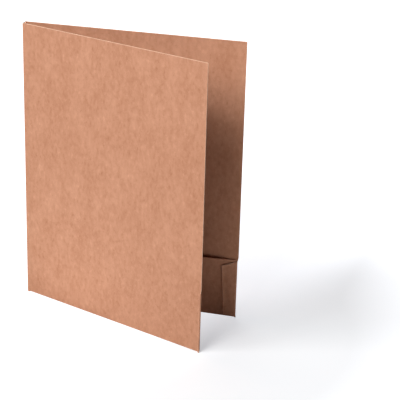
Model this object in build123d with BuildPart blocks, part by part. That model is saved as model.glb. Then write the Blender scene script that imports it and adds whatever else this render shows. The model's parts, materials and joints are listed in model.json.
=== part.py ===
from build123d import *

import os
from math import cos, pi, radians, sin

os.makedirs("parts", exist_ok=True)

# A two pocket folder, creased and glued from one sheet of kraft board. It stands on its
# lower edges, partly open: spine at -X, fore-edges at +X. The back cover stands along X,
# square to the spine, and the front cover swings out towards -Y.
# Sizes are in millimetres and degrees.

# Sheet and covers
sheet = 0.7
cover_width = 241.0
cover_height = 310.0
opening_angle = 21.0

# Spine creases: each is a bead, a little thicker than the sheet, on its hinge axis
crease_swell = 0.1
crease_clearance = 0.08
shut_clearance = 0.5

# Pockets, folded up from just above the lower edge. Under the flap a pocket lies flat,
# and from there its mouth eases open to the full gape, which it keeps to the spine end.
pocket_height = 68.6
bottom_setback = 0.8
pocket_slot = 0.3
mouth_gape = 2.4
gape_run = 24.0
gape_steps = 6
pocket_spine_gap = 3.0
pocket_edge_clearance = 0.15

# Side flaps, folded over the pocket from the fore-edge and glued down
fold_setback = 0.8
flap_top_width = 16.5
flap_foot_width = 13.3
flap_top_setback = 1.7
flap_slant_drop = 5.7
flap_foot_clearance = 0.35
flap_corner_radius = 1.5
flap_foot_radius = 1.0
cover_shoulder_rise = 4.0
glue_film = 0.1
glue_margin = 3.5

# Layers of one side, as distances inwards from the middle of the cover's sheet
outer_face = -sheet / 2
inner_face = sheet / 2
pocket_back = inner_face + pocket_slot
pocket_front = pocket_back + sheet
flap_back = pocket_front + glue_film
flap_front = flap_back + sheet
mouth_front = pocket_front + mouth_gape

# The spine is as wide as both sides need when the folder is shut
crease_spacing = 2 * max(mouth_front, flap_front) + shut_clearance
crease_radius = sheet / 2 + crease_swell
cup_radius = crease_radius + crease_clearance

# Bends: each is a half tube, as wide as the layers that it joins
pocket_bend_radius = (pocket_front - outer_face) / 2
side_bend_radius = (flap_front - outer_face) / 2

# Lines across the cover, as distances from the spine crease
fold_line = cover_width - fold_setback
fold_tangent = fold_line - side_bend_radius
pocket_end = fold_tangent - pocket_edge_clearance
flap_shoulder = fold_line - flap_top_width
flap_foot = fold_line - flap_foot_width

# Heights
pocket_bend_height = bottom_setback + pocket_bend_radius
flap_foot_height = pocket_bend_height + flap_foot_clearance
flap_top = pocket_height - flap_top_setback
flap_shoulder_height = flap_top - flap_slant_drop

# Crease axes, placed so that the box around the standing folder is centred on the origin
front_reach = cover_width * sin(radians(opening_angle)) + inner_face * cos(radians(opening_angle))
crease_x = (crease_radius - cover_width) / 2
back_crease_y = (crease_spacing + front_reach - crease_radius) / 2
front_crease_y = back_crease_y - crease_spacing
spine_y = (back_crease_y + front_crease_y) / 2
front_axis = Axis((crease_x, front_crease_y, 0), (0, 0, 1))


def cover_layer(depth):
    """Plane in the back cover: X along its width, Y up, at a depth inwards from its middle."""
    return Plane(origin=(crease_x, back_crease_y - depth, 0), x_dir=(1, 0, 0), z_dir=(0, -1, 0))


def plan_section(height):
    """Level plane at the back crease: X along the cover's width, Y outwards."""
    return Plane(origin=(crease_x, back_crease_y, height), x_dir=(1, 0, 0), z_dir=(0, 0, 1))


def end_section(distance):
    """Upright plane across the back cover: X outwards, Y up."""
    return Plane(origin=(crease_x + distance, back_crease_y, 0), x_dir=(0, 1, 0), z_dir=(1, 0, 0))


def half_ring(centre, radius, start_angle):
    """Half a ring, one sheet thick, as the section of a bend."""
    with BuildSketch() as section:
        with BuildLine():
            outside = CenterArc(centre, radius, start_angle, 180)
            inside = CenterArc(centre, radius - sheet, start_angle, 180)
            Line(outside @ 0, inside @ 0)
            Line(outside @ 1, inside @ 1)
        make_face()
    return section.sketch


def pocket_section(lean):
    """The pocket panel's section, with its mouth leaning inwards."""
    with BuildSketch() as section:
        with BuildLine():
            Polyline(
                (-pocket_back, pocket_bend_height),
                (-pocket_front, pocket_bend_height),
                (-pocket_front - lean, pocket_height),
                (-pocket_back - lean, pocket_height),
                close=True,
            )
        make_face()
    return section.sketch


def flap_outline():
    """The flap: slanted top, rounded free corners and a free edge that narrows to the foot."""
    with BuildSketch() as outline:
        with BuildLine():
            Polyline(
                (fold_tangent, flap_foot_height),
                (fold_tangent, flap_top),
                (flap_shoulder, flap_shoulder_height),
                (flap_foot, flap_foot_height),
                close=True,
            )
        make_face()
        shoulder, foot = outline.vertices().sort_by(Axis.X)[0:2]
        fillet(shoulder, radius=flap_corner_radius)
        fillet(foot, radius=flap_foot_radius)
    return outline.sketch


# Back cover: stepped in for the two bends, with a shoulder from the fold up to the cut
# edge, and a round cup along the spine end that turns on the crease
with BuildPart() as back_cover:
    with BuildSketch(cover_layer(outer_face)):
        with BuildLine():
            Polyline(
                (0, 0),
                (pocket_spine_gap, 0),
                (pocket_spine_gap, pocket_bend_height),
                (pocket_end, pocket_bend_height),
                (pocket_end, 0),
                (fold_line, 0),
                (fold_line, flap_foot_height),
                (fold_tangent, flap_foot_height),
                (fold_tangent, flap_top),
                (fold_line, flap_top),
                (cover_width, flap_top + cover_shoulder_rise),
                (cover_width, cover_height),
                (0, cover_height),
                close=True,
            )
        make_face()
    extrude(amount=sheet)
    with BuildSketch(plan_section(0)):
        Circle(cup_radius)
    extrude(amount=cover_height, mode=Mode.SUBTRACT)

# Bottom bend, from the cover's lower edge round to the pocket's
with BuildPart() as back_pocket_fold:
    with BuildSketch(end_section(pocket_spine_gap)):
        add(half_ring((-outer_face - pocket_bend_radius, pocket_bend_height), pocket_bend_radius, 180))
    extrude(amount=pocket_end - pocket_spine_gap)

# Pocket panel: full gape from the spine end, eased along a half cosine to lie flat under the flap
with BuildPart() as back_pocket:
    with BuildSketch(end_section(pocket_spine_gap)):
        add(pocket_section(mouth_gape))
    for step in range(gape_steps + 1):
        eased = step / gape_steps
        with BuildSketch(end_section(flap_shoulder - gape_run * (1 - eased))):
            add(pocket_section(mouth_gape * (1 + cos(pi * eased)) / 2))
    with BuildSketch(end_section(pocket_end)):
        add(pocket_section(0))
    loft(ruled=True)

# Fore-edge bend, round the pocket's end to the flap
with BuildPart() as back_side_fold:
    with BuildSketch(plan_section(flap_foot_height)):
        add(half_ring((fold_tangent, -outer_face - side_bend_radius), side_bend_radius, -90))
    extrude(amount=flap_top - flap_foot_height)

# Glue flap
with BuildPart() as back_side_flap:
    with BuildSketch(cover_layer(flap_back)):
        add(flap_outline())
    extrude(amount=sheet)

# Adhesive film between the flap and the pocket
with BuildPart() as back_flap_glue:
    with BuildSketch(cover_layer(pocket_front)):
        add(flap_outline())
        offset(amount=-glue_margin, mode=Mode.REPLACE)
    extrude(amount=glue_film)

# Crease bead on the hinge axis
with BuildPart() as back_crease:
    with BuildSketch(plan_section(0)):
        Circle(crease_radius)
    extrude(amount=cover_height)

# Spine panel, seated on both beads
with BuildPart() as spine_panel:
    with BuildSketch():
        with Locations((crease_x, spine_y)):
            Rectangle(sheet, crease_spacing)
        with Locations((crease_x, back_crease_y), (crease_x, front_crease_y)):
            Circle(crease_radius, mode=Mode.SUBTRACT)
    extrude(amount=cover_height)

spine_panel.part.label = "spine_panel"
export_step(spine_panel.part, "parts/spine_panel.step")

# The front half mirrors the back half in the spine's middle plane, then opens about its crease
back_pieces = {
    "crease": back_crease,
    "cover": back_cover,
    "pocket": back_pocket,
    "pocket_fold": back_pocket_fold,
    "side_fold": back_side_fold,
    "side_flap": back_side_flap,
    "flap_glue": back_flap_glue,
}

for piece_name, back_piece in back_pieces.items():
    back_piece.part.label = f"back_{piece_name}"
    export_step(back_piece.part, f"parts/back_{piece_name}.step")
    shut_piece = mirror(back_piece.part, about=Plane.XZ.offset(-spine_y), mode=Mode.PRIVATE)
    with BuildPart() as front_piece:
        add(shut_piece.rotate(front_axis, -opening_angle))
    front_piece.part.label = f"front_{piece_name}"
    export_step(front_piece.part, f"parts/front_{piece_name}.step")

shut_thickness = crease_spacing + sheet
print(f"spine {crease_spacing:.2f} between creases, {shut_thickness:.2f} thick when shut")
print(f"crease axes at x {crease_x:.3f}, y {back_crease_y:.3f} and {front_crease_y:.3f}")
print(f"pocket mouth {pocket_slot:.2f} under the flap, {pocket_slot + mouth_gape:.2f} in its open stretch")
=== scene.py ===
# %% [markdown]
# # A kraft two pocket folder
#
# The real folder is one sheet of brown kraft board, about 0.7 mm thick. It is cut out flat,
# scored, folded and glued, so all that we see is board faces, board bends and cut edges.
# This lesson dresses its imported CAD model. The model is loaded first and never moved, and
# every size below is read from it or written down once as a named value in metres.

import json
from math import cos, pi, radians, sin

import bpy
import numpy as np
from mathutils import Matrix, Vector


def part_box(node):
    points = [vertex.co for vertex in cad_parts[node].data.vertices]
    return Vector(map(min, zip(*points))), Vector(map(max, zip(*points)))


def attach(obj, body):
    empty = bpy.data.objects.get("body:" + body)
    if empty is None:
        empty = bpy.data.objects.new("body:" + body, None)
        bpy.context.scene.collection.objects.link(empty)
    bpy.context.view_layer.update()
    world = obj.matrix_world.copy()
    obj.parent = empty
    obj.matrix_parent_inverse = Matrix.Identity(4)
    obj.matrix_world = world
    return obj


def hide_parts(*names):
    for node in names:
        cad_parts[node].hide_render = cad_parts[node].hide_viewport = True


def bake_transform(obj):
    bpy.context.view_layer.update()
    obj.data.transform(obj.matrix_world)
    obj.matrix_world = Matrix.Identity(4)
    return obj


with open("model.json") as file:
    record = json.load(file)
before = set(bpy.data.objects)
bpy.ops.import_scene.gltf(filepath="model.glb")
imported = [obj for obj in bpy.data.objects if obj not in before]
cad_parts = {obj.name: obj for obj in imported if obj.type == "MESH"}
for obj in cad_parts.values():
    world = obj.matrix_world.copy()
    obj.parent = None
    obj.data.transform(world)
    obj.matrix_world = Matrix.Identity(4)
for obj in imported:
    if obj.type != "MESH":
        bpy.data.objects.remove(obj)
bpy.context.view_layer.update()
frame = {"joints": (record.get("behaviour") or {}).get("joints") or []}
MM = 0.001

# %% [markdown]
# ## Sizes from the frame
#
# A folder is drawn most easily in its own terms: how far along a cover, how deep into its
# layers and how high. The two crease axes and the boxes of a few nodes give all of these.
# The front cover is the back cover's mirror image, swung open about its own crease, and the
# lower limit of that joint is the way back to shut, which is the opening angle.

# %% Read the creases, layers and outlines
joints = {joint["name"]: joint for joint in frame["joints"]}
back_axis = np.array(joints["back_crease_fold"]["pos_m"])
front_axis = np.array(joints["front_crease_fold"]["pos_m"])
opening = radians(-joints["front_crease_fold"]["range_deg"][0])

cover_lo, cover_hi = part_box("back_cover")
bend_lo, bend_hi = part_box("back_pocket_fold")
pocket_lo, pocket_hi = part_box("back_pocket")
side_lo, side_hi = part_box("back_side_fold")
flap_lo, flap_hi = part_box("back_side_flap")

sheet = cover_hi.y - cover_lo.y
half_sheet = sheet / 2
cover_width = cover_hi.x - back_axis[0]
cover_height = cover_hi.z
pocket_start = pocket_lo.x - back_axis[0]
pocket_end = pocket_hi.x - back_axis[0]
pocket_top = pocket_hi.z
bend_height = bend_hi.z
pocket_depth = back_axis[1] - bend_lo.y - half_sheet
mouth_gape = back_axis[1] - pocket_lo.y - half_sheet - pocket_depth
fold_tangent = side_lo.x - back_axis[0]
fold_line = side_hi.x - back_axis[0]
flap_depth = back_axis[1] - flap_lo.y - half_sheet
flap_foot = side_lo.z
flap_top = side_hi.z
flap_reach = side_lo.x - flap_lo.x
spine_width = back_axis[1] - front_axis[1]
print(f"cover {cover_width / MM:.1f} x {cover_height / MM:.1f} mm, board {sheet / MM:.2f} mm")
print(f"pocket {pocket_top / MM:.1f} mm high, gaping {mouth_gape / MM:.2f} mm")
print(f"spine {spine_width / MM:.1f} mm between its creases")

# %% [markdown]
# ## The camera
#
# The photograph was taken from in front and a little to the right, from well above the top
# edge, with a long lens. These values come from fitting a pinhole camera to the straight edges
# of both covers. The camera turns about Z, tips down, and rolls about its own axis.

# %% Place the camera
CAMERA_PLACE = Vector((0.41545, -1.25155, 0.64345))
CAMERA_TURN = radians(14.656)
CAMERA_TIP = radians(20.848)
CAMERA_ROLL = radians(1.672)
LENS_MM = 120.79

camera = bpy.data.objects.new("camera", bpy.data.cameras.new("camera"))
bpy.context.scene.collection.objects.link(camera)
camera.data.lens = LENS_MM
camera.matrix_world = (
    Matrix.Translation(CAMERA_PLACE)
    @ Matrix.Rotation(CAMERA_TURN, 4, "Z")
    @ Matrix.Rotation(pi / 2 - CAMERA_TIP, 4, "X")
    @ Matrix.Rotation(CAMERA_ROLL, 4, "Z")
)
bpy.context.scene.camera = camera
print("camera at", [round(c, 3) for c in camera.location])

# %% [markdown]
# ## Shaders: small helpers
#
# Materials here are node trees written in code. One helper adds a node and sets or links its
# inputs, and another adds a named socket to a node group.

# %% Node helpers
def add_node(tree, kind, inputs=(), **settings):
    """Add a node, set its properties, and set or link its inputs, given as (key, value) pairs."""
    node = tree.nodes.new(kind)
    for key, value in settings.items():
        setattr(node, key, value)
    for key, value in inputs:
        if isinstance(value, bpy.types.NodeSocket):
            tree.links.new(value, node.inputs[key])
        else:
            node.inputs[key].default_value = value
    return node


def math_node(tree, operation, first, second=0.0):
    """The result of one sum, product or comparison."""
    return add_node(tree, "ShaderNodeMath", [(0, first), (1, second)], operation=operation).outputs[0]


def ramp(tree, value, low, high, bottom=0.0, top=1.0):
    """A smooth step: bottom below low, top above high."""
    inputs = [("Value", value), ("From Min", low), ("From Max", high), ("To Min", bottom), ("To Max", top)]
    return add_node(tree, "ShaderNodeMapRange", inputs, interpolation_type="SMOOTHSTEP").outputs["Result"]


def noise(tree, vector, scale, detail=2.0, roughness=0.5, distortion=0.0):
    """Fractal noise around 0.5, in features per metre."""
    inputs = [("Vector", vector), ("Scale", scale), ("Detail", detail)]
    inputs += [("Roughness", roughness), ("Distortion", distortion)]
    return add_node(tree, "ShaderNodeTexNoise", inputs).outputs["Fac"]


def stretched(tree, vector, scale, turn=(0.0, 0.0, 0.0)):
    """Coordinates turned and scaled, so that a pattern is drawn out along an axis."""
    inputs = [("Vector", vector), ("Scale", scale), ("Rotation", turn)]
    return add_node(tree, "ShaderNodeMapping", inputs).outputs["Vector"]


def group_tree(name, inputs, outputs):
    """A node group with float or colour sockets; returns its tree, input node and output node."""
    tree = bpy.data.node_groups.new(name, "ShaderNodeTree")
    for socket_name, kind in inputs:
        tree.interface.new_socket(socket_name, in_out="INPUT", socket_type=kind)
    for socket_name, kind in outputs:
        tree.interface.new_socket(socket_name, in_out="OUTPUT", socket_type=kind)
    return tree, tree.nodes.new("NodeGroupInput"), tree.nodes.new("NodeGroupOutput")


FLOAT = "NodeSocketFloat"
VECTOR = "NodeSocketVector"
print("node helpers ready")

# %% [markdown]
# ## Kraft fibres
#
# Kraft board is unbleached pulp. Its colour is never even: the pulp forms soft clouds, the
# paper machine lays the fibres mostly one way, here up the spine, clumps of fibre show as small
# light and dark flecks, and single fibres lie on top as fine hairs, with a dark speck of bark now
# and then. Each of these is a noise at its own scale. A fleck is where a noise comes near its top
# or bottom, a hair is where one crosses its middle value, cut short by a second noise. One node
# group makes them all, so faces, bends and cut edges can share it in their own strength.

# %% Draw hairs, flecks and specks
NOISE_MIDDLE = 0.5
HAIR_SCALE = 210.0
HAIR_BREAK_SCALE = 483.0
HAIR_BREAKS = (0.5, 0.62)
HAIR_STRETCH = (1.0, 1.0, 0.55)
HAIR_WANDER = 0.6
HAIR_WIDTH = 0.012
FLECK_SCALE = 300.0
FLECK_START = 0.10
FLECK_FULL = 0.24
SPECK_SCALE = 190.0
SPECK_RIM = (0.03, 0.11)
SPECK_RARITY = 0.9


def hairs(tree, vector, turn=(0.0, 0.0, 0.0)):
    """Thin wandering lines in short lengths: 1 on a hair, 0 between hairs."""
    drawn = stretched(tree, vector, HAIR_STRETCH, turn)
    field = noise(tree, drawn, HAIR_SCALE, detail=1.0, distortion=HAIR_WANDER)
    off_middle = math_node(tree, "ABSOLUTE", math_node(tree, "SUBTRACT", field, NOISE_MIDDLE))
    line = ramp(tree, off_middle, 0.0, HAIR_WIDTH, 1.0, 0.0)
    lengths = ramp(tree, noise(tree, drawn, HAIR_BREAK_SCALE, detail=0.0), *HAIR_BREAKS)
    return math_node(tree, "MULTIPLY", line, lengths)


def flecks(tree, vector):
    """Small clumps: up to 1 where a noise is near its top, down to -1 near its bottom, mostly 0."""
    off_middle = math_node(tree, "SUBTRACT", noise(tree, vector, FLECK_SCALE, detail=1.0), NOISE_MIDDLE)
    light = ramp(tree, off_middle, FLECK_START, FLECK_FULL)
    dark = ramp(tree, off_middle, -FLECK_FULL, -FLECK_START, 1.0, 0.0)
    return math_node(tree, "SUBTRACT", light, dark)


def specks(tree, vector):
    """Bits of bark: 1 at the middle of the few cells whose random colour is past the rarity, else 0."""
    cells = add_node(tree, "ShaderNodeTexVoronoi", [("Vector", vector), ("Scale", SPECK_SCALE)])
    near = ramp(tree, cells.outputs["Distance"], *SPECK_RIM, 1.0, 0.0)
    parted = add_node(tree, "ShaderNodeSeparateColor", [("Color", cells.outputs["Color"])])
    chosen = math_node(tree, "GREATER_THAN", parted.outputs[0], SPECK_RARITY)
    return math_node(tree, "MULTIPLY", near, chosen)


print(f"hairs, flecks and specks about {1 / HAIR_SCALE / MM:.1f}, {1 / FLECK_SCALE / MM:.1f} and "
      f"{1 / SPECK_SCALE / MM:.1f} mm apart")

# %% Build the fibre group
CLOUD_SCALE = 55.0
CLOUD_STRETCH = (1.0, 1.0, 0.6)
STREAK_SCALE = 240.0
GRAIN_SCALE = 1900.0
SPINE_STRETCH = (1.0, 1.0, 0.65)
DARK_HAIR_TURN = (0.5, 0.3, 1.1)
HAIR_RAISE = 0.6
FIBRE_LAYERS = ("Clouds", "Streaks", "Grain", "Flecks", "Hairs")


def add_share(tree, total, value, strength):
    """A running total plus a value times its strength."""
    return math_node(tree, "ADD", total, math_node(tree, "MULTIPLY", value, strength))


def build_fibre_group():
    """Tone is about 0 and varies by a few hundredths, Height is for bump and Speck marks the bark."""
    tree, given, made = group_tree(
        "kraft_fibres",
        [("Vector", VECTOR)] + [(name, FLOAT) for name in FIBRE_LAYERS],
        [("Tone", FLOAT), ("Height", FLOAT), ("Speck", FLOAT)],
    )
    vector = given.outputs["Vector"]
    along = stretched(tree, vector, SPINE_STRETCH)
    clouds = noise(tree, stretched(tree, vector, CLOUD_STRETCH), CLOUD_SCALE, detail=3.0)
    streaks = noise(tree, along, STREAK_SCALE, detail=2.0)
    grain = noise(tree, along, GRAIN_SCALE, detail=2.0)
    tone = 0.0
    for strength, field in (("Clouds", clouds), ("Streaks", streaks), ("Grain", grain)):
        off_middle = math_node(tree, "SUBTRACT", field, NOISE_MIDDLE)
        tone = add_share(tree, tone, off_middle, given.outputs[strength])
    light_hair = hairs(tree, vector)
    dark_hair = hairs(tree, vector, DARK_HAIR_TURN)
    hair = math_node(tree, "SUBTRACT", light_hair, dark_hair)
    tone = add_share(tree, tone, hair, given.outputs["Hairs"])
    tone = add_share(tree, tone, flecks(tree, along), given.outputs["Flecks"])

    raised = math_node(tree, "ADD", light_hair, dark_hair)
    height = math_node(tree, "ADD", add_share(tree, grain, raised, HAIR_RAISE), streaks)
    for name, socket in (("Tone", tone), ("Height", height), ("Speck", specks(tree, along))):
        tree.links.new(socket, made.inputs[name])
    return tree


fibre_group = build_fibre_group()
print("fibre group with", len(fibre_group.nodes), "nodes")

# %% [markdown]
# ## Board and cut edge
#
# The faces of the board are matt and warm brown. A darker patch of pulp is also a warmer brown, so a
# tone swings the blue most and the red least, instead of scaling the colour evenly. Handling rubs the
# outermost millimetre next to a cut or a fold a little lighter, so each mesh carries its distance to
# the nearest edge as an attribute. A cut edge shows the sheet's core, paler and rougher. The glue is
# a dried, yellowish film that stays hidden between the flap and the pocket. Pictures of board could
# be laid on instead, but these patterns have no seams and follow the solid round every bend.

# %% Helpers that the materials share
TONE_SWING = (0.79, 1.09, 1.37)
RELIEF_STRENGTH = 0.5
RELIEF_HEIGHTS = (0.6, 1.6)


def new_material(name, specular, roughness=1.0):
    """An empty material with a Principled shader; constants stay on the shader's own sockets."""
    material = bpy.data.materials.new(name)
    material.use_nodes = True
    shader = material.node_tree.nodes["Principled BSDF"]
    shader.inputs["Roughness"].default_value = roughness
    shader.inputs["Specular IOR Level"].default_value = specular
    return material, material.node_tree, shader


def shaded(tree, colour, tone):
    """A colour times one plus a tone about 0, which swings blue most and red least."""
    swing = [level * share for level, share in zip(colour, TONE_SWING)]
    inputs = [(0, tone), (1, swing), (2, colour)]
    return add_node(tree, "ShaderNodeVectorMath", inputs, operation="MULTIPLY_ADD").outputs["Vector"]


def fibres_in(tree, **strengths):
    """Place the fibre group on Object coordinates, with its strengths by name."""
    place = add_node(tree, "ShaderNodeTexCoord").outputs["Object"]
    node = add_node(tree, "ShaderNodeGroup", node_tree=fibre_group)
    tree.links.new(place, node.inputs["Vector"])
    for name, value in strengths.items():
        node.inputs[name].default_value = value
    return node


def relief(tree, shader, height, depth):
    """Bumps of the given depth in metres."""
    inputs = [("Height", height), ("Distance", depth), ("Strength", RELIEF_STRENGTH)]
    bumps = add_node(tree, "ShaderNodeBump", inputs)
    tree.links.new(bumps.outputs["Normal"], shader.inputs["Normal"])


def uneven_gloss(tree, shader, height, hollow, crest):
    """Roughness that goes from one value in the relief's hollows to another on its crests."""
    tree.links.new(ramp(tree, height, *RELIEF_HEIGHTS, hollow, crest), shader.inputs["Roughness"])


print("tone swings red, green and blue by", TONE_SWING)

# %% Make the materials
BOARD_COLOUR = (0.514, 0.248, 0.149)
BOARD_RELIEF = 0.03 * MM
EDGE_COLOUR = (0.86, 0.60, 0.44)
EDGE_RELIEF = 0.08 * MM
EDGE_ATTRIBUTE = "edge_mm"
RUBBED_TONE = 0.14
RUBBED_REACH_MM = 1.0
SPECK_TONE = 0.22
GLUE_COLOUR = (0.66, 0.57, 0.38)


def kraft_face():
    """Matt brown board: clouds, streaks, hairs and specks, rubbed lighter along its edges."""
    material, tree, shader = new_material("kraft_face", specular=0.18)
    fibres = fibres_in(tree, Clouds=0.36, Streaks=0.40, Grain=0.22, Flecks=0.095, Hairs=0.12)
    distance = add_node(tree, "ShaderNodeAttribute", attribute_name=EDGE_ATTRIBUTE).outputs["Fac"]
    rubbed = ramp(tree, distance, 0.0, RUBBED_REACH_MM, RUBBED_TONE, 0.0)
    tone = math_node(tree, "ADD", fibres.outputs["Tone"], rubbed)
    bark = math_node(tree, "MULTIPLY", fibres.outputs["Speck"], SPECK_TONE)
    tone = math_node(tree, "SUBTRACT", tone, bark)
    tree.links.new(shaded(tree, BOARD_COLOUR, tone), shader.inputs["Base Color"])
    uneven_gloss(tree, shader, fibres.outputs["Height"], hollow=0.9, crest=0.8)
    relief(tree, shader, fibres.outputs["Height"], BOARD_RELIEF)
    return material


def cut_edge():
    """The pale core of the board, rough and fibrous."""
    material, tree, shader = new_material("cut_edge", specular=0.15, roughness=0.95)
    fibres = fibres_in(tree, Clouds=0.1, Streaks=0.3, Grain=0.35, Flecks=0.1, Hairs=0.1)
    tree.links.new(shaded(tree, EDGE_COLOUR, fibres.outputs["Tone"]), shader.inputs["Base Color"])
    relief(tree, shader, fibres.outputs["Height"], EDGE_RELIEF)
    return material


def dried_glue():
    """A thin yellowish film with an uneven gloss."""
    material, tree, shader = new_material("dried_glue", specular=0.4)
    fibres = fibres_in(tree, Clouds=0.6, Streaks=0.3, Grain=0.1)
    tree.links.new(shaded(tree, GLUE_COLOUR, fibres.outputs["Tone"]), shader.inputs["Base Color"])
    uneven_gloss(tree, shader, fibres.outputs["Height"], hollow=0.5, crest=0.25)
    return material


board_material = kraft_face()
edge_material = cut_edge()
glue_material = dried_glue()
print("materials:", [m.name for m in (board_material, edge_material, glue_material)])

# %% [markdown]
# ## From a surface to a board
#
# A piece of board is a surface with two faces and a rim. Each piece is worked out as a grid of
# points in the middle of the sheet. The direction across the sheet is the cross product of the
# grid's two directions, and half a sheet to either side gives the faces. Grid lines crowd towards
# the borders, where the outline turns and the wear fades fastest.

# %% Work on grids of points
CROWDING = 0.85
SIDES = ("back", "front")


def crowded(steps):
    """Positions from 0 to 1 that crowd towards both ends: t - crowding times sin(2 pi t) / (2 pi)."""
    t = np.linspace(0.0, 1.0, steps + 1)
    return t - CROWDING * np.sin(2 * pi * t) / (2 * pi)


def side_points(side, along, depth, height):
    """World points of one side of the folder, from the distance along its cover, the depth inwards
    from the middle of its board and the height. The front is the back's mirror image, turned open."""
    along, depth, height = np.broadcast_arrays(along, depth, height)
    if side == "back":
        return np.stack([back_axis[0] + along, back_axis[1] - depth, height], -1)
    x = front_axis[0] + along * cos(opening) + depth * sin(opening)
    y = front_axis[1] - along * sin(opening) + depth * cos(opening)
    return np.stack([x, y, height], -1)


def faces_of(points):
    """Both faces of the board: half a sheet to either side of its middle surface, along the unit cross
    product of the grid's row and column steps."""
    across = np.cross(np.gradient(points, axis=1), np.gradient(points, axis=0))
    offset = across / np.linalg.norm(across, axis=-1, keepdims=True) * half_sheet
    return points + offset, points - offset


print("five crowded positions:", crowded(4).round(3))

# %% [markdown]
# ## Rim, ridge and bevel
#
# The rim joins the two faces around the border, over a ridge midway through the sheet, and takes the
# cut edge's material. Along the top the cut looks up at the camera and catches the light as a pale
# line, so there the faces are drawn back from the ridge, which makes a narrow bevel on either side.
# Solidify and Bevel modifiers could make all this, but here the rim's material, the edge attribute
# and the outward turn of the faces stay in our hands.

# %% Close a slab
BEVEL = 0.30 * MM
FIRST_ROW = (0, 1)
LAST_ROW = (-1, -2)


def worn(grid, cut):
    """A face whose cut border rows are drawn back by the bevel, towards the row beside them."""
    drawn = grid.copy()
    for border, inner in cut:
        step = grid[inner] - grid[border]
        drawn[border] += BEVEL * step / np.linalg.norm(step, axis=-1, keepdims=True)
    return drawn


def signed_volume(points, quads):
    """Six times the volume inside the quads, as a sum of triple products: below 0 if they face inwards."""
    first, second, third, fourth = points[quads].transpose(1, 0, 2)
    return np.sum(first * (np.cross(second, third) + np.cross(third, fourth)))


def shell(near, far, cut=()):
    """Points and quads of a closed slab between two matching grids: both faces, then the rim, which runs
    from each face's border to a ridge midway. Rows in cut are bevelled up to that ridge."""
    rows, columns = near.shape[:2]
    count = rows * columns
    index = np.arange(count).reshape(rows, columns)
    face = np.stack([index[:-1, :-1], index[:-1, 1:], index[1:, 1:], index[1:, :-1]], -1).reshape(-1, 4)
    border = np.concatenate([index[0, :-1], index[:-1, -1], index[-1, :0:-1], index[:0:-1, 0]])
    ridge = 2 * count + np.arange(len(border))
    after, ridge_after = np.roll(border, -1), np.roll(ridge, -1)
    near_rim = np.stack([after, border, ridge, ridge_after], -1)
    far_rim = np.stack([ridge_after, ridge, border + count, after + count], -1)
    middle = (near.reshape(-1, 3)[border] + far.reshape(-1, 3)[border]) / 2
    points = np.concatenate([worn(near, cut).reshape(-1, 3), worn(far, cut).reshape(-1, 3), middle])
    quads = np.concatenate([face, face[:, ::-1] + count, near_rim, far_rim])
    on_rim = np.arange(len(quads)) >= 2 * len(face)
    outwards = signed_volume(points, quads) > 0
    return points, quads if outwards else quads[:, ::-1], on_rim


print(f"cut edges are bevelled by {BEVEL / MM:.2f} mm")

# %% Make a board object from slabs
SHARP_ANGLE = radians(35)
FAR_FROM_EDGE = 1.0  # metres, so never rubbed
slot_materials = {
    "kraft_board": (board_material, edge_material),
    "glue": (glue_material, glue_material),
}


def make_board(name, slabs, edges, slot="kraft_board", cut=()):
    """One mesh object from slabs (pairs of matching grids), each with its distances to an edge. The
    rows in cut are bevelled on the first slab. A ridge lies on the edge, at distance 0."""
    points, quads, rims, distances, start = [], [], [], [], 0
    for (near, far), edge in zip(slabs, edges):
        slab_points, slab_quads, on_rim = shell(near, far, () if start else cut)
        points.append(slab_points)
        quads.append(slab_quads + start)
        rims.append(on_rim)
        on_faces = np.tile(np.broadcast_to(edge, near.shape[:2]).ravel(), 2)
        distances.append(np.pad(on_faces, (0, len(slab_points) - len(on_faces))))
        start += len(slab_points)
    mesh = bpy.data.meshes.new(name)
    mesh.from_pydata(np.concatenate(points), [], np.concatenate(quads))
    for material in slot_materials[slot]:
        mesh.materials.append(material)
    mesh.polygons.foreach_set("material_index", np.concatenate(rims).astype(np.int32))
    attribute = mesh.attributes.new(EDGE_ATTRIBUTE, "FLOAT", "POINT")
    attribute.data.foreach_set("value", (np.concatenate(distances) / MM).astype(np.float32))
    mesh.shade_smooth()
    mesh.set_sharp_from_angle(angle=SHARP_ANGLE)
    mesh.validate()
    piece = bpy.data.objects.new(name, mesh)
    bpy.context.scene.collection.objects.link(piece)
    print(f"{name}: {len(mesh.polygons)} quads")
    return piece


print("material slots:", list(slot_materials))

# %% [markdown]
# ## Cover, bottom bend and pocket
#
# Each cover runs down to the bottom, turns through a half circle and comes up again as the pocket.
# That is one section, in depth and height, carried along the cover's width, so it is worked out as
# one grid and cut into its three pieces by rows. The width differs by row: the cover's fore-edge is
# cut straight above the flap, steps in where the flap folds over, and the pocket is a little
# narrower than the cover. The pocket's mouth gapes: held by its fold at the fore-edge, it eases out
# along a quarter sine wave and then stays open to the spine. The back pocket is the one that hangs
# open in the photograph, and the front one lies closer, so that both still fit when the folder is shut.

# %% Work out one side's section and outline
CREASE_REACH = 2.0 * MM
COVER_SHOULDER = 4.0 * MM
OUTLINE_STEP = 0.02 * MM
GAPE_RUN = 50.0 * MM
GAPE_SHIFT = 1.8 * MM
GAPE = {"back": mouth_gape + GAPE_SHIFT, "front": mouth_gape - GAPE_SHIFT}
COLUMNS = 90
COVER_ROWS = 70
BEND_STEPS = 14
POCKET_ROWS = 30

# The cover's fore-edge, from the bend up: a step at the flap's foot and one at its top
outline_heights = [
    bend_height, flap_foot - OUTLINE_STEP, flap_foot + OUTLINE_STEP,
    flap_top - OUTLINE_STEP, flap_top + OUTLINE_STEP, flap_top + COVER_SHOULDER, cover_height,
]
outline_widths = [pocket_end, pocket_end, fold_tangent, fold_tangent, fold_line, cover_width, cover_width]


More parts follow.
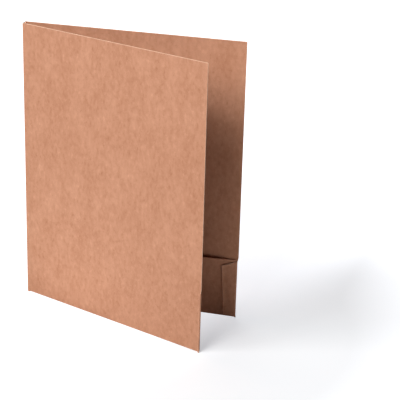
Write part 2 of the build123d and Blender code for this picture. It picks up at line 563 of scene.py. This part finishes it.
def lean(side, along, height):
    """How far a pocket leans away from its cover: a quarter sine wave from its fold at the fore-edge,
    times the share of its height."""
    reach = np.sin(pi / 2 * np.clip((pocket_end - along) / GAPE_RUN, 0.0, 1.0))
    climb = np.clip((height - bend_height) / (pocket_top - bend_height), 0.0, 1.0)
    return GAPE[side] * reach * climb


def side_section(side):
    """Distance along, depth, height and distance to an edge for the whole section, with its row counts.
    Rows run down the cover, round the bend and up the pocket."""
    cover_rows = bend_height + crowded(COVER_ROWS) * (cover_height - bend_height)
    heights = np.union1d(cover_rows, outline_heights)[::-1]
    turn = np.linspace(0.0, pi, BEND_STEPS + 1)
    climb = crowded(POCKET_ROWS)
    below = len(turn) + len(climb)
    left = np.repeat([CREASE_REACH, pocket_start], [len(heights), below])
    fore_edge = np.interp(heights, outline_heights, outline_widths)
    right = np.concatenate([fore_edge, np.full(below, pocket_end)])
    along = left[:, None] + (right - left)[:, None] * crowded(COLUMNS)

    radius = pocket_depth / 2
    pocket_heights = bend_height + climb * (pocket_top - bend_height)
    depth = np.concatenate([
        np.zeros((len(heights), COLUMNS + 1)),
        np.repeat((radius - radius * np.cos(turn))[:, None], COLUMNS + 1, 1),
        pocket_depth + lean(side, along[-len(climb):], pocket_heights[:, None]),
    ])
    height = np.concatenate([heights, bend_height - radius * np.sin(turn), pocket_heights])
    to_fore = right[:, None] - along
    on_bend = np.full(len(turn), FAR_FROM_EDGE)
    to_top = np.concatenate([cover_height - heights, on_bend, pocket_top - pocket_heights])
    to_bend = np.abs(height - bend_height)
    edge = np.minimum(np.minimum(to_fore, to_top[:, None]), to_bend[:, None])
    return along, depth, height[:, None], edge, (len(heights), len(turn), len(climb))


sections = {side: side_section(side) for side in SIDES}
print("section grid:", sections["back"][0].shape, "rows of cover, bend and pocket:", sections["back"][4])

# %% Cut each side's section into cover, bend and pocket
TAB_STEPS = 4


def corner_tab(side, start, end, top):
    """A small flat patch of cover board beside the bend, down to the floor."""
    along = np.linspace(start, end, TAB_STEPS + 1)[None, :]
    height = np.linspace(top, 0.0, TAB_STEPS + 1)[:, None]
    return faces_of(side_points(side, along, 0.0, height))


def make_side(side):
    """The cover with its corner tabs, the bottom bend and the pocket panel of one side."""
    along, depth, height, edge, counts = sections[side]
    near, far = faces_of(side_points(side, along, depth, height))
    ends = np.cumsum(counts)
    rows = {
        "cover": slice(0, ends[0]),
        "pocket_fold": slice(ends[0], ends[1]),
        "pocket": slice(ends[1], ends[2]),
    }
    tabs = [
        corner_tab(side, CREASE_REACH, pocket_start, bend_height),
        corner_tab(side, pocket_end, fold_line, flap_foot),
    ]
    for part, row in rows.items():
        slabs = [(near[row], far[row])]
        edges = [edge[row]]
        cut = ()
        if part == "cover":
            slabs += tabs
            edges += [FAR_FROM_EDGE] * len(tabs)
            cut = (FIRST_ROW,)
        piece = make_board(f"{side}_{part}_board", slabs, edges, cut=cut)
        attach(piece, f"{side}_side")
        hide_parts(f"{side}_{part}")


for side in SIDES:
    make_side(side)

# %% [markdown]
# ## Side bend and glued flap
#
# At the fore-edge a flap turns through another half circle and lies on the pocket. Its top slants
# down from the fold, its free corner is rounded, and it narrows towards the foot. The glue stops
# short of the free edge, so the last few millimetres lift a little from the pocket and throw the dark
# line that outlines the flap in the photograph. Every row of the grid is level: it goes round the
# bend and then as far along the flap as the outline reaches at that height, so the outline needs no
# trimming.

# %% Work out the flap's outline and section
FLAP_SLANT = 5.7 * MM
FLAP_NARROWING = 3.2 * MM
FLAP_CORNER = 1.2 * MM
FLAP_TIP = 0.3 * MM
FLAP_LIFT = {"back": 1.3 * MM, "front": 0.25 * MM}
FLAP_LOOSE = 5.0 * MM
FLAP_ROWS = 40
FLAP_COLUMNS = 26


def flap_extent(height):
    """How far the flap reaches from its fold at a height: the slanted top and the free edge, with the
    corner between them eased by a smooth minimum of the two."""
    shoulder = flap_top - FLAP_SLANT
    drop = np.clip((shoulder - height) / (shoulder - flap_foot), 0.0, 1.0)
    free_edge = flap_reach - FLAP_NARROWING * drop
    slant = (flap_top - height) * flap_reach / FLAP_SLANT
    mix = np.clip(0.5 + 0.5 * (slant - free_edge) / FLAP_CORNER, 0.0, 1.0)
    return np.maximum(slant + (free_edge - slant) * mix - FLAP_CORNER * mix * (1.0 - mix), FLAP_TIP)


def flap_section(side):
    """Distance along and depth of the bend and of the flap, and their heights. The bend is half a circle.
    The flap follows the pocket's lean and lifts with the square of the share of its loose strip."""
    radius = flap_depth / 2
    shoulder = flap_top - FLAP_SLANT
    low = flap_foot + crowded(FLAP_ROWS) * (shoulder - FLAP_SLANT - flap_foot)
    high = np.linspace(shoulder - FLAP_SLANT, flap_top, FLAP_ROWS + 1)
    height = np.union1d(low, high)[:, None]
    turn = np.linspace(0.0, pi, BEND_STEPS + 1)[None, :]
    share = crowded(FLAP_COLUMNS)[None, :]
    extent = flap_extent(height)
    bend_along = np.repeat(fold_tangent + radius * np.sin(turn), len(height), 0)
    bend_depth = np.repeat(radius - radius * np.cos(turn), len(height), 0)
    flap_along = fold_tangent - share * extent
    loose = np.clip(1.0 - (1.0 - share) * extent / FLAP_LOOSE, 0.0, 1.0) ** 2
    held = np.clip(share * extent / FLAP_LOOSE, 0.0, 1.0)
    flap_rise = flap_depth + lean(side, flap_along, height) + FLAP_LIFT[side] * loose * held
    return (bend_along, bend_depth), (flap_along, flap_rise), height


extents = flap_extent(np.array([flap_top - 2 * FLAP_SLANT, flap_foot])) / MM
print(f"flap {extents[0]:.1f} mm wide below its shoulder, {extents[1]:.1f} mm at its foot")

# %% Make the bends, flaps and glue films
FOLD_TO_EDGE = 0.6 * MM
GLUE_MARGIN = 3.5 * MM
FILM_STEPS = 8


def make_flap(side):
    """The fore-edge bend and the flap of one side."""
    bend, flap, height = flap_section(side)
    along = np.concatenate([bend[0], flap[0]], 1)
    depth = np.concatenate([bend[1], flap[1]], 1)
    near, far = faces_of(side_points(side, along, depth, height))
    bend_columns = bend[0].shape[1]
    to_free = along - along[:, -1:]
    columns = {"side_fold": slice(0, bend_columns), "side_flap": slice(bend_columns, None)}
    for part, column in columns.items():
        edge = to_free[:, column] if part == "side_flap" else FOLD_TO_EDGE
        piece = make_board(f"{side}_{part}_board", [(near[:, column], far[:, column])], [edge])
        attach(piece, f"{side}_side")
        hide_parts(f"{side}_{part}")


def make_film(side):
    """The glue film: level rows between the pocket's front face and the flap's back face."""
    low, high = flap_foot + GLUE_MARGIN, flap_top - FLAP_SLANT - GLUE_MARGIN
    height = np.linspace(low, high, FILM_STEPS + 1)[:, None]
    share = np.linspace(0.0, 1.0, FILM_STEPS + 1)[None, :]
    along = fold_tangent - GLUE_MARGIN - share * (flap_extent(height) - 2 * GLUE_MARGIN)
    pocket_face = pocket_depth + half_sheet + lean(side, along, height)
    flap_face = flap_depth - half_sheet + lean(side, along, height)
    slab = [side_points(side, along, depth, height) for depth in (pocket_face, flap_face)]
    film = make_board(f"{side}_glue_film", [slab], [FAR_FROM_EDGE], slot="glue")
    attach(film, f"{side}_side")
    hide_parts(f"{side}_flap_glue")


for side in SIDES:
    make_flap(side)
    make_film(side)

# %% [markdown]
# ## Spine and creases
#
# The spine is a narrow strip between two scored creases. A crease is where the board really bends,
# so it belongs half to the cover and half to the spine. Its skin is a bent strip of board: outside it
# turns round the hinge axis with the slight swell that scoring leaves, inside the two faces meet in a
# small rounded corner. Two slabs that meet at an angle would be simpler, but they would gape or cross
# as the folder moves.

# %% Work out a crease's section
SPINE_REACH = 1.6 * MM
CREASE_SWELL = 0.10 * MM
CREASE_ROUND = 0.5 * MM
CREASE_STEPS = 10
RUN_STEPS = 4


def turned(start, end, share):
    """Directions from one unit vector to another, at even angles."""
    angle = np.arccos(np.clip(start @ end, -1.0, 1.0))
    weights = np.stack([np.sin((1 - share) * angle), np.sin(share * angle)], -1) / sin(angle)
    return weights @ np.stack([start, end])


def crease_section(axis, cover_way, cover_out, spine_way, spine_out):
    """Outer and inner lines of a crease seen from above: along the cover to the axis, round it and along
    the spine. The outer line is an arc with a swell, the inner one a quadratic curve about its corner."""
    share = np.linspace(0.0, 1.0, CREASE_STEPS + 1)
    arc = turned(cover_out, spine_out, share) * (half_sheet + CREASE_SWELL * np.sin(pi * share))[:, None]
    run = np.linspace(1.0, 0.0, RUN_STEPS + 1)[:-1, None]
    outer = np.concatenate([
        run * CREASE_REACH * cover_way + half_sheet * cover_out,
        arc,
        run[::-1] * SPINE_REACH * spine_way + half_sheet * spine_out,
    ])
    half_angle = np.arccos(cover_way @ spine_way) / 2
    corner = half_sheet / np.tan(half_angle)
    begin = (corner + CREASE_ROUND) * cover_way - half_sheet * cover_out
    point = corner * cover_way - half_sheet * cover_out
    finish = (corner + CREASE_ROUND) * spine_way - half_sheet * spine_out
    s = share[:, None]
    bead = (1 - s) ** 2 * begin + 2 * s * (1 - s) * point + s ** 2 * finish
    inner = np.concatenate([
        begin + run * (CREASE_REACH * cover_way - half_sheet * cover_out - begin),
        bead,
        finish + run[::-1] * (SPINE_REACH * spine_way - half_sheet * spine_out - finish),
    ])
    return axis[:2] + outer, axis[:2] + inner


print(f"crease skin: {CREASE_REACH / MM:.1f} mm of cover, {SPINE_REACH / MM:.1f} mm of spine")

# %% Make the crease skins
SPINE_ROWS = 60
OUT_OF_SPINE = np.array([-1.0, 0.0])
TO_FRONT = np.array([0.0, -1.0])
ALONG_BACK = np.array([1.0, 0.0])
ALONG_FRONT = np.array([cos(opening), -sin(opening)])
OUT_OF_FRONT = np.array([-sin(opening), -cos(opening)])
spine_heights = np.linspace(0.0, cover_height, SPINE_ROWS + 1)


def upright(line):
    """A plan line carried up the spine: a grid of points, one row for each height."""
    grid = np.empty((len(spine_heights), len(line), 3))
    grid[..., :2] = line
    grid[..., 2] = spine_heights[:, None]
    return grid


def make_crease(side, axis, cover_way, cover_out, spine_way):
    """A crease skin, built in place in world coordinates."""
    outer, inner = crease_section(axis, cover_way, cover_out, spine_way, OUT_OF_SPINE)
    edge = np.linalg.norm(outer - axis[:2], axis=-1)[None, :]
    skin = (upright(outer), upright(inner))
    piece = make_board(f"{side}_crease_board", [skin], [edge], cut=(LAST_ROW,))
    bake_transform(piece)
    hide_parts(f"{side}_crease")


make_crease("back", back_axis, ALONG_BACK, -TO_FRONT, TO_FRONT)
make_crease("front", front_axis, ALONG_FRONT, OUT_OF_FRONT, -TO_FRONT)

# %% Make the spine strip
STRIP_STEPS = 8
strip = np.linspace(back_axis[1] - SPINE_REACH, front_axis[1] + SPINE_REACH, STRIP_STEPS + 1)
strip_line = np.stack([np.full(len(strip), back_axis[0]), strip], -1)
strip_offset = half_sheet * OUT_OF_SPINE
strip_faces = (upright(strip_line + strip_offset), upright(strip_line - strip_offset))
spine_strip = make_board("spine_panel_board", [strip_faces], [FAR_FROM_EDGE], cut=(LAST_ROW,))
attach(spine_strip, "spine")
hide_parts("spine_panel")

# %% [markdown]
# ## Floor and world
#
# The folder stands on a white table, as in most shop photographs. The table's own colour throws lamp
# light back at the folder, with a small steady bounce besides. For the camera it also glows, so that
# it reaches white where the lamps shine and keeps their soft shadow, a little cool, where they don't.
# The glow rises to the left and back and away from the folder. There it is painted light that washes
# out the lamps' shadows on the table, so that it shows pure white, and it puts no light on the folder:
# only camera, mirror and see-through rays find it. More lamps would whiten the table too, but they
# would bleach the board with it.

# %% Lay the floor
FLOOR_HALF = 6.0
FLOOR_COLOUR = (0.776, 0.776, 0.776)
FLOOR_BOUNCE = 0.075
GLOW_COLOUR = (0.93, 0.952, 1.0)
GLOW_LEVEL = 0.425
# The glow's rises to the left and back and far from the folder are painted light over the lamps' shadows.
GLOW_BACK_LEVEL = 0.845
GLOW_BACK_WAY = (-0.875, 0.484, 0.0)
GLOW_BACK_RANGE = (-0.145, -0.027)
GLOW_FAR_RANGE = (0.02, 0.54)


def seen_rays(tree):
    """1 for rays that show the studio: straight from the camera, mirrored or passing through."""
    rays = add_node(tree, "ShaderNodeLightPath").outputs
    straight = math_node(tree, "MAXIMUM", rays["Is Camera Ray"], rays["Is Transmission Ray"])
    return math_node(tree, "MAXIMUM", straight, rays["Is Glossy Ray"])


def floor_strength(tree):
    """The steady bounce for the folder, and for seen rays a glow: the greater of a rise to the left and
    back and a rise with the distance from the folder, both painted light that washes out the lamps'
    shadows there."""
    place = add_node(tree, "ShaderNodeTexCoord").outputs["Object"]
    away = add_node(tree, "ShaderNodeVectorMath", [(0, place)], operation="LENGTH").outputs["Value"]
    inputs = [(0, place), (1, GLOW_BACK_WAY)]
    behind = add_node(tree, "ShaderNodeVectorMath", inputs, operation="DOT_PRODUCT").outputs["Value"]
    # Painted light: the glow rises where the lamps' shadows fall behind and far from the folder, and
    # washes them out.
    near_glow = ramp(tree, behind, *GLOW_BACK_RANGE, GLOW_LEVEL, GLOW_BACK_LEVEL)
    glow = math_node(tree, "MAXIMUM", near_glow, ramp(tree, away, *GLOW_FAR_RANGE))
    inputs = [("Factor", seen_rays(tree)), ("A", FLOOR_BOUNCE), ("B", glow)]
    return add_node(tree, "ShaderNodeMix", inputs).outputs["Result"]


def add_floor():
    """One large square, matt and white."""
    corners = np.array([(-1, -1, 0), (1, -1, 0), (1, 1, 0), (-1, 1, 0)]) * FLOOR_HALF
    mesh = bpy.data.meshes.new("floor")
    mesh.from_pydata(corners, [], [(0, 1, 2, 3)])
    floor = bpy.data.objects.new("floor", mesh)
    bpy.context.scene.collection.objects.link(floor)
    material, tree, shader = new_material("white_table", specular=0.0)
    shader.inputs["Base Color"].default_value = (*FLOOR_COLOUR, 1.0)
    shader.inputs["Emission Color"].default_value = (*GLOW_COLOUR, 1.0)
    tree.links.new(floor_strength(tree), shader.inputs["Emission Strength"])
    mesh.materials.append(material)


add_floor()
print(f"floor {2 * FLOOR_HALF:.0f} m square")

# %% Set the world
WORLD_LEVEL = 0.018


def set_world():
    """White where it is seen, and a faint even light for everything else."""
    world = bpy.data.worlds.new("studio")
    bpy.context.scene.world = world
    world.use_nodes = True
    tree = world.node_tree
    background = tree.nodes["Background"]
    background.inputs["Color"].default_value = (1.0, 1.0, 1.0, 1.0)
    strength = ramp(tree, seen_rays(tree), 0.0, 1.0, WORLD_LEVEL, 1.0)
    tree.links.new(strength, background.inputs["Strength"])


set_world()
print("world light", WORLD_LEVEL)

# %% [markdown]
# ## Lights
#
# Three softboxes stand in front on the left: a wide, shallow strip far out to the side, whose shadow
# we see, and two large ones nearer the camera. A weak one stands behind. A narrow strip on the right,
# with a grid that lets its light out only straight ahead, reaches the top of the back cover's inside,
# which shows as a light band above the front. Three round cards lie on the table and send light up, as
# reflectors do in a studio: a white one into the opening, a cool one at the front's lower left, and a
# large one behind, which keeps the back's outside from going dark when the folder is seen from there.
# A sun lamp could light this scene too, but its shadow would be hard, and the photograph's is soft.

# %% Add the lights
CARD_RISE = 1.0 * MM
COOL = (0.80, 0.93, 1.0)
FOLDER_MIDDLE = (0.0, 0.0, cover_height / 2)
BAND_ALONG = 150.0 * MM
BAND_DROP = 10.0 * MM
band_middle = side_points("back", BAND_ALONG, half_sheet, cover_height - BAND_DROP)


def add_lamp(name, shape, power):
    """An area lamp of a shape and power, in the scene; its place and size are set by the caller."""
    light = bpy.data.lights.new(name, "AREA")
    light.shape = shape
    light.energy = power
    lamp = bpy.data.objects.new(name, light)
    bpy.context.scene.collection.objects.link(lamp)
    return lamp, light


def add_softbox(name, turn, height, distance, size, power, target=FOLDER_MIDDLE, spread=180):
    """A softbox, aimed at a target from a plan angle left of the front and a height angle. Its size is
    width and height, and its spread is the whole angle that its light fans out to."""
    lamp, light = add_lamp(name, "RECTANGLE", power)
    light.size, light.size_y = size
    light.spread = radians(spread)
    turn, height = radians(turn), radians(height)
    way = Vector((-sin(turn) * cos(height), -cos(turn) * cos(height), sin(height)))
    lamp.location = Vector(target) + way * distance
    lamp.rotation_mode = "QUATERNION"
    lamp.rotation_quaternion = way.to_track_quat("Z", "Y")
    print(f"{name} at", [round(c, 2) for c in lamp.location])


def add_table_card(name, place, size, power, colour=(1.0, 1.0, 1.0)):
    """A round card on the table that sends light up: a disc lamp, unseen by the camera."""
    card, light = add_lamp(name, "DISK", power)
    light.size = size
    light.color = colour
    card.location = (*place, CARD_RISE)
    card.rotation_euler = (pi, 0.0, 0.0)
    card.visible_camera = False
    print(f"{name} at", list(place))


add_softbox("side_strip", turn=58, height=40, distance=3.0, size=(0.9, 0.25), power=25.5)
add_softbox("camera_softbox", turn=26, height=44, distance=3.0, size=(1.5, 1.5), power=46.0)
add_softbox("front_fill", turn=15, height=36, distance=3.0, size=(1.3, 1.5), power=27.5)
add_softbox("back_softbox", turn=150, height=40, distance=1.8, size=(1.2, 1.2), power=5.5)
add_softbox("band_strip", turn=-72, height=0, distance=0.8, size=(0.10, 0.06), power=0.0095,
            target=band_middle, spread=6)
add_table_card("right_card", place=(0.28, -0.10), size=0.22, power=0.162)
add_table_card("left_card", place=(-0.09, -0.10), size=0.20, power=0.090, colour=COOL)
add_table_card("back_card", place=(-0.05, 0.50), size=0.60, power=3.2)
bpy.context.scene.view_settings.view_transform = "Standard"
